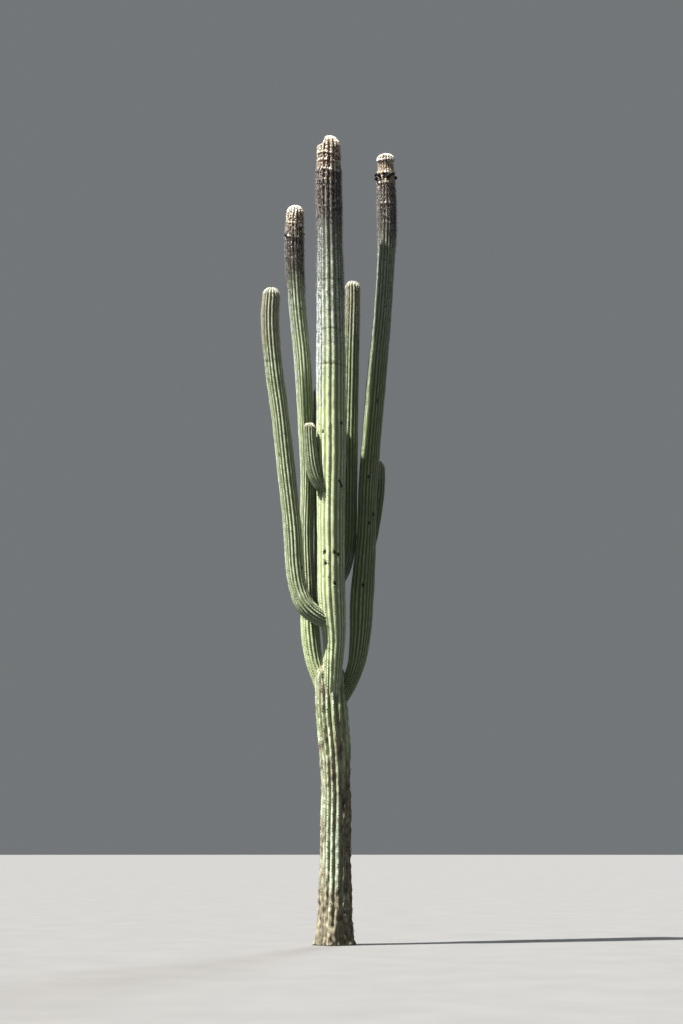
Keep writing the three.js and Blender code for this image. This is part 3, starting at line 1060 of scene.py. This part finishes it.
def head_colour(skin, crest):
    """The head's wool and its dark slots, browner low down and creamier towards the crown. The slots'
    dark is partly painted shade, and each tier gets a painted shadow under its edge and a painted
    highlight on it.
    """
    ripe = skin.sway(skin.mask("ripe"), skin.noise(9, 4), 0.22)
    raised = skin.sway(crest, skin.noise(75, 4, 0.7, along=0.45), 0.9)
    slots, wool = skin.ramp(ripe, HEAD_SLOTS_AND_SHADE), skin.ramp(ripe, HEAD_WOOL)
    colour = skin.mix(skin.slope(raised, 0.52, 0.8), slots, wool)
    # A painted shadow in the recess under each tier's edge and a painted highlight on the edge itself.
    above = skin.mask("off_tier")
    strength = skin.times(skin.mask("tier_strength"), 1.4, clamp=True)
    for heights, stops in ((RECESS_SHADOW_HEIGHTS, TIER_RECESS_SHADOW), (COLLAR_HIGHLIGHT_HEIGHTS, TIER_COLLAR_HIGHLIGHT)):
        share = skin.times(skin.band(above, *heights), strength)
        colour = skin.mix(share, colour, skin.ramp(ripe, stops))
    return colour


def cork_relief(skin):
    """The height of the bark, from long furrows and low plates."""
    furrows = skin.times(skin.noise(42, 6, 0.65, along=0.14), 0.6)
    return skin.calc("ADD", furrows, skin.times(skin.noise(17, 5), 0.4))


print("a rib counts as", RIB_WIDTH, "m wide where an areole's spot is drawn")

# %% Skin material
AREOLE_HALO = 0.0055


def living_skin(name):
    skin = Recipe(name)
    crest, off_areole = rib_counts(skin)
    # Partly painted shade in the grooves and a partly painted highlight on the crests.
    skin.colour = skin.ramp(skin.sway(crest, skin.noise(60, 4, 0.65, along=0.25), 0.7), RIB_GREENS)
    skin.lay(GREY_GREEN, skin.slope(skin.noise(3.2), 0.42, 0.62), 0.5)
    # Painted light: pale yellow over the grooves on the lit side of the centre stem and the left stem's
    # foot, and wax on the trunk.
    skin.lay(WAX_AND_LIGHT, skin.times(skin.mask("wax"), skin.line(crest, -0.8, 1.3), clamp=True))
    # Partly painted shade: a deeper green, strongest in the grooves, on the limbs that stand in shade.
    deep, young = skin.mask("deep"), skin.mask("young")
    skin.lay(DEEP_GREEN_AND_SHADE, deep, skin.line(crest, -0.6, 1.2))
    # Partly a painted highlight: the bloom again along the very ridge, less on the deeper and shaded limbs.
    skin.lay(BLOOM_AND_HIGHLIGHT, skin.slope(crest, 0.78, 0.92), skin.line(deep, -0.7, 0.6, clamp=True))
    skin.lay(YOUNG_GREEN, young, 0.6)
    skin.lay(weathered_colour(skin, crest), skin.ragged(skin.mask("weather"), 7, 0.7, 0.1, 1.0), 0.72)
    skin.lay(FLECK, skin.slope(skin.noise(75, 3, 0.75), 0.63, 0.7), 0.6)
    # Painted shade: a dark line in the pinch of each waist.
    skin.lay(SEASON_SHADE_LINE, skin.ragged(skin.mask("season"), 30, 2.2, 0.45, 1.1), 0.75)
    skin.lay(DULL_OLIVE, skin.ragged(skin.mask("dull"), 16, 0.9, 0.1, 1.0), 0.75)
    # Partly bleaching and partly painted light on the lit flanks, with a painted sky reflection.
    skin.lay(bleached_and_lit_colour(skin, crest), skin.ragged(skin.mask("bleach_and_light"), 18, 1.9), 0.85)
    head = skin.ragged(skin.mask("head"), 14, 0.9, 0.1, 0.95)
    skin.lay(head_colour(skin, crest), head)
    patches = skin.times(skin.mask("cork"), skin.sway(1.0, skin.noise(3, 4), 1.5))
    cork = skin.ragged(patches, 11, 1.5, along=0.3)
    bark = cork_relief(skin)
    skin.lay(skin.ramp(bark, CORKS), cork)
    bare = skin.calc("SUBTRACT", 0.45, skin.calc("MAXIMUM", head, young), clamp=True)
    skin.lay(AREOLE_DARK, skin.slope(off_areole, AREOLE_HALO, 0.4 * AREOLE_HALO), bare)
    skin.lay(SCAR_DARK, skin.ragged(skin.mask("scar"), 110, 1.9, 0.5, 0.62))
    grain = skin.times(skin.noise(160), 0.3)
    height = skin.calc("ADD", grain, skin.times(bark, skin.times(cork, 3.0)))
    bump = skin.add("ShaderNodeBump", {"Strength": 0.5, "Distance": 0.004, "Height": height})
    skin.wire(bump.outputs["Normal"], skin.shader.inputs["Normal"])
    return skin.finish(skin.colour, skin.line(skin.calc("MAXIMUM", cork, head), 0.3, 0.58), 0.3)


skin_material = living_skin("ribbed_skin")
for limb in limbs:
    mesh = rolled_skin(limb)
    mesh.materials.append(skin_material)
    piece = link(limb.name + "_skin", mesh)
    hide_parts(*limb.nodes)
    print(piece.name, len(mesh.polygons), "faces")

# %% [markdown]
# ## Small things by the thousand
#
# A cactus spine, felt pad or tuft is repeated tens of thousands of times, so each is a shape of only
# a few faces. An operator makes that shape once, standing on the origin. Then arrays hold one small
# matrix and one place for every copy, and a single sum moves all the copies at once into one joined
# mesh. Colours that have a place, such as cream at the crown and grey lower down, are dealt out copy
# by copy from a short palette of plain finishes, which survives any later export.

# %% Palette
PALETTE = {
    "soot": tone(22, 19, 17),
    "charcoal": tone(48, 43, 41),
    "brown": tone(92, 72, 60),
    "tan": tone(174, 154, 132),
    "straw": tone(206, 194, 170),
    "cream": tone(242, 239, 232),
    "grey": tone(122, 118, 115),
    "ash": tone(200, 197, 191),
}
COLOURS = list(PALETTE)
DRY_ROUGHNESS = 0.85
DRY_SHINE = 0.2
finishes = [Recipe(name).finish(PALETTE[name], DRY_ROUGHNESS, DRY_SHINE) for name in COLOURS]
print("finishes:", COLOURS)

# %% Small shapes


def shape_of(bm):
    """A small mesh as plain arrays: its points, and its faces as triangles. The operators hand the
    triangles back in any order, so they are sorted here, and every run gives the same mesh."""
    bmesh.ops.triangulate(bm, faces=bm.faces)
    bmesh.ops.remove_doubles(bm, verts=bm.verts, dist=WELD)
    bmesh.ops.recalc_face_normals(bm, faces=bm.faces)
    bm.verts.index_update()
    points = np.array([vertex.co[:] for vertex in bm.verts])
    faces = np.array([[vertex.index for vertex in face.verts] for face in bm.faces])
    bm.free()
    lowest_first = (faces.argmin(1)[:, None] + np.arange(3)) % 3
    faces = np.take_along_axis(faces, lowest_first, 1)
    return points, faces[np.lexsort(faces.T)]


def cone(sides, base_at=0.0):
    """A pointed cone of unit radius and unit height whose base is at the given height."""
    bm = bmesh.new()
    bmesh.ops.create_cone(bm, cap_ends=True, segments=sides, radius1=1, radius2=0, depth=1)
    bmesh.ops.translate(bm, verts=bm.verts, vec=(0, 0, 0.5 + base_at))
    return shape_of(bm)


def lumpy_ball():
    """A tuft of wool with few faces."""
    bm = bmesh.new()
    bmesh.ops.create_uvsphere(bm, u_segments=6, v_segments=4, radius=1)
    for vertex in bm.verts:
        vertex.co *= 1 + 0.25 * math.sin(vertex.co.x * 9 + vertex.co.y * 7 + vertex.co.z * 11)
    return shape_of(bm)


spine_shape = cone(3)
pad_shape = cone(6, -0.3)
tuft_shape = lumpy_ball()
print("faces in a spine, a pad and a tuft:", len(spine_shape[1]), len(pad_shape[1]), len(tuft_shape[1]))

# %% Sowing


def sow(limb, kind, shape, batches):
    """One joined mesh of a kind on a limb. Each batch holds matrices, places and colour numbers, and
    every one of them gets a copy of the shape."""
    turns, places, colours = map(np.concatenate, zip(*batches))
    points, faces = shape
    spread = np.einsum("nij,vj->nvi", turns, points) + places[:, None]
    joined = faces[None] + (np.arange(len(places)) * len(points))[:, None, None]
    mesh = bpy.data.meshes.new(f"{limb.name}_{kind}")
    mesh.vertices.add(spread.shape[0] * spread.shape[1])
    mesh.vertices.foreach_set("co", spread.ravel())
    mesh.loops.add(joined.size)
    mesh.loops.foreach_set("vertex_index", joined.ravel().astype(np.int32))
    mesh.polygons.add(joined.size // 3)
    mesh.polygons.foreach_set("loop_start", np.arange(0, joined.size, 3, dtype=np.int32))
    mesh.polygons.foreach_set("material_index", np.repeat(colours, len(faces)).astype(np.int32))
    mesh.polygons.foreach_set("use_smooth", np.ones(joined.size // 3, bool))
    for finish in finishes:
        mesh.materials.append(finish)
    mesh.update(calc_edges=True)
    link(mesh.name, mesh)
    print(mesh.name, len(mesh.polygons), "faces")


def unit(vectors):
    return vectors / np.linalg.norm(vectors, axis=-1, keepdims=True)


def framed(right, up, out, sizes):
    """Matrices whose columns are three directions, each times its size."""
    return np.stack([right, up, out], -1) * sizes[:, None, :]


def pointing(heading, beside, sizes):
    """Matrices that stand a shape up along its heading."""
    across = unit(np.cross(heading, beside + 0.1))
    return framed(across, np.cross(heading, across), heading, sizes)


def deal(picked, count, shares):
    """Colour numbers for so many copies, dealt out by the shares of the named colours."""
    names, weights = zip(*shares.items())
    weights = np.array(weights) / sum(weights)
    return picked.choice([COLOURS.index(name) for name in names], count, p=weights)


print("most colours on one piece:", len(finishes))

# %% [markdown]
# ## Areoles
#
# Every spine of a cactus grows from an areole, a small felted pad on the crest of a rib. The pads of
# neighbouring ribs are staggered. On the green skin they are small, dark and three centimetres
# apart. On growing tips and old heads they are larger and woolly, and sit two centimetres apart.
# Areoles that would fall inside another limb are left out, and so are most of those in the bark. Each
# belongs to a zone with ragged borders, from plain skin to the crown's rim or an arm's tip, and the
# zone decides what grows there. Each also keeps three directions for its spines: round the limb,
# along the rib, and straight out of the skin.

# %% Where areoles sit
LOWEST_AREOLE = 2 * AREOLE_STEP
WOOLLY_STEP = 0.02
WOOLLY_BELOW_HEAD = 0.1
DOME_END = math.radians(72)
HIDDEN_SHARE = 0.93


def inside_another(limb, points):
    """True where a point is inside any other limb."""
    hidden = np.zeros(len(points), bool)
    for other in limbs:
        if other is limb:
            continue
        places = other.axis.place[::4]
        apart = np.linalg.norm(points[:, None] - places[None], axis=2)
        nearest = apart.argmin(1)
        hidden |= apart[np.arange(len(points)), nearest] < HIDDEN_SHARE * other.axis.radius[::4][nearest]
    return hidden


def woolly_from(limb):
    """The distance from which the areoles sit closer together."""
    if limb is trunk:
        return limb.shoulder
    if limb.head_from is None:
        return (1 - limb.young_share) * limb.axis.length
    return limb.axis.distance_at_height(limb.head_from - WOOLLY_BELOW_HEAD)


def areole_places(limb):
    """Turns and distances of a limb's areoles, rib by rib."""
    plain = np.arange(LOWEST_AREOLE, woolly_from(limb), AREOLE_STEP)
    woolly = np.arange(plain[-1] + WOOLLY_STEP, limb.shoulder, WOOLLY_STEP)
    angles = np.arange(0, DOME_END, WOOLLY_STEP / limb.axis.radius[-1])
    even = np.concatenate([plain, woolly, limb.shoulder + limb.tip_height * np.sin(angles)])
    odd = (even[1:] + even[:-1]) / 2
    distances = [odd if rib % 2 else even for rib in range(limb.ribs)]
    turns = [np.full(len(row), rib + 0.5) for rib, row in enumerate(distances)]
    return np.concatenate(turns), np.concatenate(distances)


print("areoles on the short arm before any is left out:", len(areole_places(short)[0]))

# %% Zones
ZONES = ["plain", "dull", "head", "ripe", "crown", "rim", "young", "tip"]
RAGGED, RAGGED_HEAD, RAGGED_END = 0.05, 0.13, 0.02
RIPE_FROM = 0.55
CROWN_HEIGHT = 0.05
RIM_SHARE = 0.4
TIP_SHARE = 0.8


def zone_numbers(limb, picked, distance, height):
    """The zone that each areole belongs to, as a number in ZONES, with ragged borders."""
    rules = []
    loose_height = height + picked.normal(0, RAGGED, len(height))
    to_end = limb.axis.length - distance + picked.normal(0, RAGGED_END, len(height))
    if limb.head_from is not None:
        looser_height = height + picked.normal(0, RAGGED_HEAD, len(height))
        rules = [
            ("dull", loose_height > limb.dull_from),
            ("head", looser_height > limb.head_from),
            ("ripe", ripe_mask(limb, loose_height) > RIPE_FROM),
            ("crown", to_end < limb.tip_height + CROWN_HEIGHT),
            ("rim", to_end < RIM_SHARE * limb.tip_height),
        ]
    elif limb is not trunk:
        rules = [
            ("young", to_end < TIP_SHARE * limb.young_share * limb.axis.length),
            ("tip", to_end < TIP_SHARE * limb.tip_height),
        ]
    zones = np.zeros(len(distance), int)
    for zone, inside in rules:
        zones[inside] = ZONES.index(zone)
    return zones


print("zones:", ZONES)

# %% Areoles
HALF_STRIDE = 0.004
SHORT_OF_END = 1e-4


class Footing:
    """Places on a limb's skin, each with three directions: along the rib, round the limb, and out."""

    def __init__(self, limb, turn, distance):
        self.place = skin_points(limb, turn, distance)
        before = skin_points(limb, turn, np.maximum(distance - HALF_STRIDE, 0))
        top = limb.axis.length - SHORT_OF_END
        after = skin_points(limb, turn, np.minimum(distance + HALF_STRIDE, top))
        self.up = unit(after - before)
        self.right = unit(np.cross(self.up, outward(limb, turn, distance)))
        self.out = np.cross(self.right, self.up)


class Areoles(Footing):
    """All of a limb's areoles, with their zones, as arrays."""

    def __init__(self, limb):
        self.limb = limb
        self.picked = np.random.default_rng(limb.seed)
        turn, distance = areole_places(limb)
        place = skin_points(limb, turn, distance)
        keep = ~inside_another(limb, place)
        if limb is trunk:
            keep &= cork_mask(limb, turn, place[:, 2]) < self.picked.uniform(0.2, 1.2, len(turn))
        self.turn, self.distance = turn[keep], distance[keep]
        super().__init__(limb, self.turn, self.distance)
        self.zone = zone_numbers(limb, self.picked, self.distance, self.place[:, 2])

    def part(self, zone):
        """The numbers of the areoles in a zone."""
        return np.flatnonzero(self.zone == ZONES.index(zone))


areoles = {limb.name: Areoles(limb) for limb in limbs}
print("areoles:", {name: len(one.place) for name, one in areoles.items()})

# %% [markdown]
# ## Felt pads
#
# A pad is a low six-sided cone, sunk a little into the crest so that nothing floats. It is smoothly
# shaded, so it reads as a soft button. Each zone has its own size of pad and its own felt colours.

# %% Felt pads
PAD_LOOKS = {
    "plain": ((0.0052, 0.0066, 0.003), {"charcoal": 5, "soot": 2, "brown": 2, "grey": 3}),
    "dull": ((0.0072, 0.0090, 0.006), {"charcoal": 5, "soot": 2, "grey": 3, "ash": 2}),
    "head": ((0.0065, 0.0085, 0.006), {"grey": 4, "ash": 4, "tan": 2}),
    "ripe": ((0.0070, 0.0090, 0.007), {"tan": 5, "straw": 3, "ash": 2}),
    "crown": ((0.0080, 0.0095, 0.008), {"cream": 5, "straw": 4, "tan": 2}),
    "rim": ((0.0085, 0.0100, 0.009), {"cream": 7, "straw": 3}),
    "young": ((0.0055, 0.0065, 0.005), {"tan": 3, "brown": 3, "straw": 3}),
    "tip": ((0.0068, 0.0080, 0.006), {"cream": 6, "straw": 3, "tan": 1}),
}


def pads(one, zone):
    """Matrices, places and colours of the pads in one zone."""
    size, shares = PAD_LOOKS[zone]
    some = one.part(zone)
    sizes = np.array(size) * one.picked.uniform(0.6, 1.4, (len(some), 1))
    turns = framed(one.right[some], one.up[some], one.out[some], sizes)
    return turns, one.place[some], deal(one.picked, len(some), shares)


for one in areoles.values():
    sow(one.limb, "felt_pads", pad_shape, [pads(one, zone) for zone in PAD_LOOKS])

# %% [markdown]
# ## Wool
#
# Where a stem flowers, its areoles make wool year after year, until the wool hides the skin. Each
# tuft is a lumpy ball of few faces, sunk into the skin, and the dark gaps between tufts are real
# shade. The tufts gather on the crests and spill down the flanks. A second sowing hangs a fringe of
# larger tufts from the lower edge of every tier, where it stands out most.

# %% Wool
WOOL_LOOKS = {
    "head": (4, 0.22, (0.0060, 0.0095, 0.006), {"grey": 4, "ash": 5, "brown": 3, "tan": 1, "charcoal": 2}),
    "ripe": (3, 0.2, (0.0085, 0.0115, 0.007), {"tan": 4, "straw": 3, "ash": 3, "cream": 1, "brown": 2}),
    "crown": (3, 0.14, (0.0075, 0.0105, 0.007), {"cream": 5, "straw": 4, "tan": 2}),
    "rim": (3, 0.2, (0.0085, 0.0110, 0.009), {"cream": 8, "straw": 2}),
}
TUFT_SPILL = 0.012
FRINGE_STEP = 0.25
FRINGE_LIFT = (0.002, 0.012)
FRINGE_SIZE = (0.012, 0.017, 0.011)
FRINGE_SHARES = {"cream": 3, "straw": 4, "tan": 2, "ash": 2}
LOW_FRINGE_SHARES = {"ash": 5, "grey": 3, "tan": 2}


def tufts(one, zone):
    """Matrices, places and colours of the tufts in one zone of a head."""
    count, spill, size, shares = WOOL_LOOKS[zone]
    some = np.repeat(one.part(zone), count)
    turn = one.turn[some] + one.picked.normal(0, spill, len(some))
    distance = one.distance[some] + one.picked.uniform(-TUFT_SPILL, TUFT_SPILL, len(some))
    foot = Footing(one.limb, turn, np.clip(distance, 0, one.limb.axis.length - 0.002))
    sizes = np.array(size) * one.picked.uniform(0.55, 1.3, (len(some), 1))
    return framed(foot.right, foot.up, foot.out, sizes), foot.place, deal(one.picked, len(some), shares)


def fringe(one, number):
    """Matrices, places and colours of the tufts that hang from one tier's lower edge."""
    limb = one.limb
    turn = np.arange(FRINGE_STEP, limb.ribs, FRINGE_STEP)
    turn = turn[tier_strength(limb, turn, number) > one.picked.uniform(0.15, 1.1, len(turn))]
    edge = limb.tiers[number] + one.picked.uniform(*FRINGE_LIFT, len(turn))
    foot = Footing(limb, turn, edge - tier_place(limb, turn, np.zeros(len(turn))))
    sizes = np.array(FRINGE_SIZE) * one.picked.uniform(0.6, 1.2, (len(turn), 1))
    high = ripe_mask(limb, foot.place[:, 2]).mean() > 0.4
    colours = deal(one.picked, len(turn), FRINGE_SHARES if high else LOW_FRINGE_SHARES)
    return framed(foot.right, foot.up, foot.out, sizes), foot.place, colours


for one in areoles.values():
    if one.limb.tiers:
        batches = [tufts(one, zone) for zone in WOOL_LOOKS]
        batches += [fringe(one, number) for number in range(len(one.limb.tiers))]
        sow(one.limb, "wool", tuft_shape, batches)

# %% [markdown]
# ## Spines and bristles
#
# From each areole a handful of spines leans out in all directions. On the green stems they are short
# and few. Towards the heads they grow longer, denser and darker, and on crowns and growing tips they
# are soft, pale bristles that stand up and catch the light. A spine is a three-sided needle whose
# foot is in its pad. Each zone has its count, lengths, width, leans in degrees, and colours.

# %% Spines
SPINE_LOOKS = {
    "plain": (4, (0.008, 0.015), 0.0006, (25, 75), {"grey": 4, "charcoal": 3, "straw": 2}),
    "dull": (9, (0.020, 0.034), 0.0012, (15, 75), {"charcoal": 5, "brown": 3, "grey": 4, "ash": 1}),
    "head": (12, (0.024, 0.040), 0.0014, (15, 80), {"charcoal": 5, "brown": 3, "grey": 3, "ash": 3}),
    "ripe": (
        10, (0.014, 0.026), 0.0011, (20, 80), {"charcoal": 2, "brown": 4, "tan": 3, "straw": 2, "ash": 3},
    ),
    "crown": (10, (0.006, 0.014), 0.0009, (10, 75), {"cream": 7, "straw": 3}),
    "rim": (12, (0.010, 0.018), 0.0011, (10, 75), {"cream": 9, "straw": 1}),
    "young": (10, (0.010, 0.018), 0.0007, (20, 75), {"straw": 4, "tan": 4, "brown": 3}),
    "tip": (12, (0.008, 0.015), 0.0010, (10, 75), {"cream": 8, "straw": 3}),
}


def spines(one, zone):
    """Matrices, places and colours of the spines in one zone."""
    count, lengths, width, leans, shares = SPINE_LOOKS[zone]
    some = np.repeat(one.part(zone), count)
    lean = np.radians(one.picked.uniform(*leans, len(some)))
    swing = one.picked.uniform(0, 2 * np.pi, len(some))
    sideways = one.right[some] * np.cos(swing)[:, None] + one.up[some] * np.sin(swing)[:, None]
    heading = one.out[some] * np.cos(lean)[:, None] + sideways * np.sin(lean)[:, None]
    sizes = np.stack([np.full(len(some), width)] * 2 + [one.picked.uniform(*lengths, len(some))], -1)
    turns = pointing(heading, one.right[some], sizes)
    return turns, one.place[some], deal(one.picked, len(some), shares)


for one in areoles.values():
    sow(one.limb, "spines", spine_shape, [spines(one, zone) for zone in SPINE_LOOKS])

# %% [markdown]
# ## Dried flowers
#
# The flowers open at night in a ring below the crown, and their dried remains hang on for months. A
# withered flower is a short dark tube, pinched at its foot, swollen in the middle and ragged at its
# mouth. It starts as a ball, whose vertices are then drawn in or out by their height. Each copy
# droops by its own amount, its foot is sunk into the wool, and every third one sits higher or lower
# than its neighbours. Each head has its own height, number and size of flowers.

# %% Dried flowers
FLOWER_RINGS = {"centre": (8.695, 6, 0.7), "left": (7.895, 7, 0.9), "right": (8.64, 15, 1.2)}
FLOWER_STAGGER = 0.024
FLOWER_SIZE = (0.017, 0.017, 0.018)
FLOWER_DROOP = (-0.9, 0.1)
FLOWER_STRAY = 0.15
FLOWER_SHARES = {"soot": 9, "brown": 1}


def withered_tube():
    """A withered flower that stands on the origin."""
    bm = bmesh.new()
    bmesh.ops.create_uvsphere(bm, u_segments=10, v_segments=9, radius=1)
    for vertex in bm.verts:
        x, y, z = vertex.co
        girth = 0.75 + 0.35 * math.sin(2.2 * z + 0.4) + 0.22 * math.sin(5 * math.atan2(y, x) + 3 * z)
        vertex.co = (x * girth, y * girth, 0.75 + z + 0.12 * math.sin(4 * x + 5 * y))
    return shape_of(bm)


def flowers(one, height, count, size):
    """Matrices, places and colours of a ring of withered flowers round a head."""
    number = np.arange(count)
    heights = height + FLOWER_STAGGER * (number % 3 - 1)
    foot = Footing(one.limb, number * one.limb.ribs / count, one.limb.axis.distance_at_height(heights))
    droop = one.picked.uniform(*FLOWER_DROOP, (count, 1))
    heading = unit(foot.out + droop * foot.up + one.picked.normal(0, FLOWER_STRAY, (count, 3)))
    sizes = size * np.array(FLOWER_SIZE) * one.picked.uniform(0.8, 1.15, (count, 1))
    turns = pointing(heading, foot.right, sizes)
    return turns, foot.place, deal(one.picked, count, FLOWER_SHARES)


flower_shape = withered_tube()
for name, ring in FLOWER_RINGS.items():
    one = areoles[name]
    sow(one.limb, "dried_flowers", flower_shape, [flowers(one, *ring)])

# %% [markdown]
# ## The floor's finish
#
# The floor only has to be calm and pale, so that the plant's own colours and shadow can be read.

# %% Floor finish
FLOOR_GREYS = ((0.3, tone(98, 97, 96)), (0.7, tone(104, 103, 102)))
studio_floor = Recipe("studio_floor")
floor_grey = studio_floor.ramp(studio_floor.noise(1.5, 4), FLOOR_GREYS)
floor_mesh.materials.append(studio_floor.finish(floor_grey, 0.9, 0.5))
print("floor finished")

# %% [markdown]
